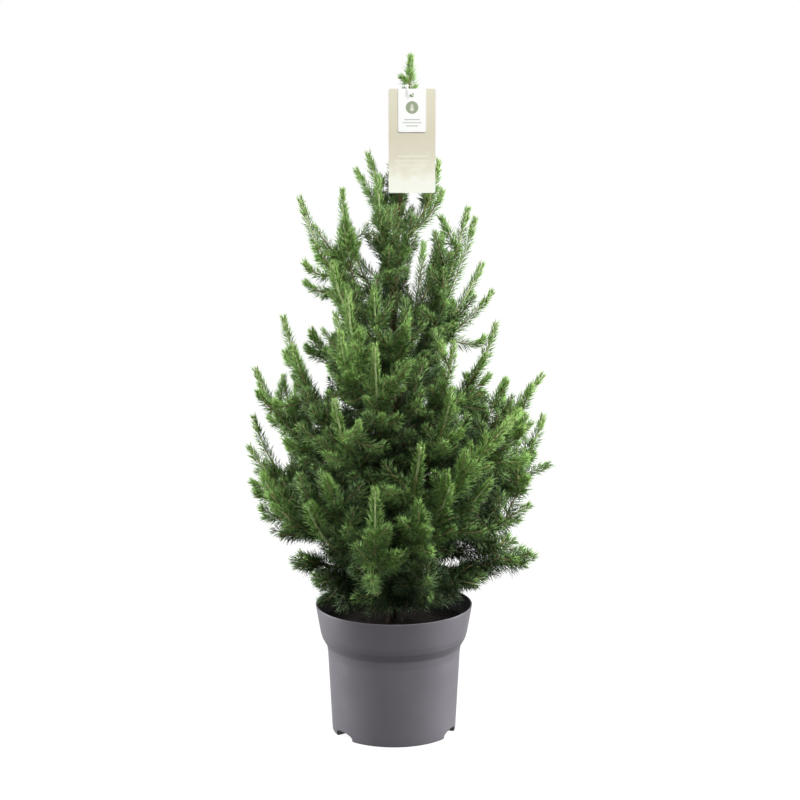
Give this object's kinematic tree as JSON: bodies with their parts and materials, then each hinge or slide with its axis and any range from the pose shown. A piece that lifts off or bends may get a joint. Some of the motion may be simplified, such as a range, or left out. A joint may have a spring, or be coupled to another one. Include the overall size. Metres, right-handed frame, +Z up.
{
  "type": "potted alberta spruce",
  "caption": "Young conical dwarf spruce with upswept needle-covered boughs, growing in a round nursery pot with a wide collar, with hang tags tied to its leader",
  "frame": {"origin": "centre of the pot's flat underside, on the surface that it stands on", "axes": "+Z up along the trunk, -Y towards the front where the tags face, +X to the right seen from the front"},
  "size_m": [0.365, 0.3468, 0.818],
  "materials": {
    "pot": "matt moulded grey polypropylene",
    "soil": "dark damp peat compost",
    "bark": "thin flaky brown bark",
    "needles": "fresh green needles",
    "card": "cream printed card",
    "white_card": "white printed card",
    "tie": "thin clear plastic tie"
  },
  "bodies": {
    "root": {"bough_back_high_left": "bark", "bough_back_high_right": "bark", "bough_back_mid": "bark", "bough_front_left": "bark", "bough_front_mid": "bark", "bough_front_right": "bark", "bough_left_high": "bark", "bough_left_mid": "bark", "bough_mid_left_outer": "bark", "bough_mid_right": "bark", "bough_right_front_high": "bark", "bough_right_high": "bark", "bough_right_mid": "bark", "foliage_back_high_left": "needles", "foliage_back_high_right": "needles", "foliage_back_mid": "needles", "foliage_back_mid_left": "needles", "foliage_back_mid_right": "needles", "foliage_front_high": "needles", "foliage_front_left": "needles", "foliage_front_left_high": "needles", "foliage_front_low_left": "needles", "foliage_front_low_right": "needles", "foliage_front_mid": "needles", "foliage_front_right": "needles", "foliage_leader": "needles", "foliage_left_high": "needles", "foliage_left_low": "needles", "foliage_left_mid": "needles", "foliage_mid_back": "needles", "foliage_mid_back_left": "needles", "foliage_mid_front": "needles", "foliage_mid_front_left": "needles", "foliage_mid_front_right": "needles", "foliage_mid_left_outer": "needles", "foliage_mid_right": "needles", "foliage_mid_right_outer": "needles", "foliage_right_front_high": "needles", "foliage_right_high": "needles", "foliage_right_low": "needles", "foliage_right_mid": "needles", "foliage_skirt_back_left": "needles", "foliage_skirt_back_right": "needles", "foliage_skirt_front": "needles", "foliage_skirt_left": "needles", "foliage_skirt_right": "needles", "foliage_top_back": "needles", "foliage_top_left": "needles", "foliage_top_right": "needles", "foliage_upper_back_left": "needles", "foliage_upper_front": "needles", "foliage_upper_left": "needles", "foliage_upper_right": "needles", "foliage_upper_right_back": "needles", "pot": "pot", "soil": "soil", "tag_card": "card", "tag_small": "white_card", "tag_tie": "tie", "trunk": "bark"}
  },
  "joints": []
}
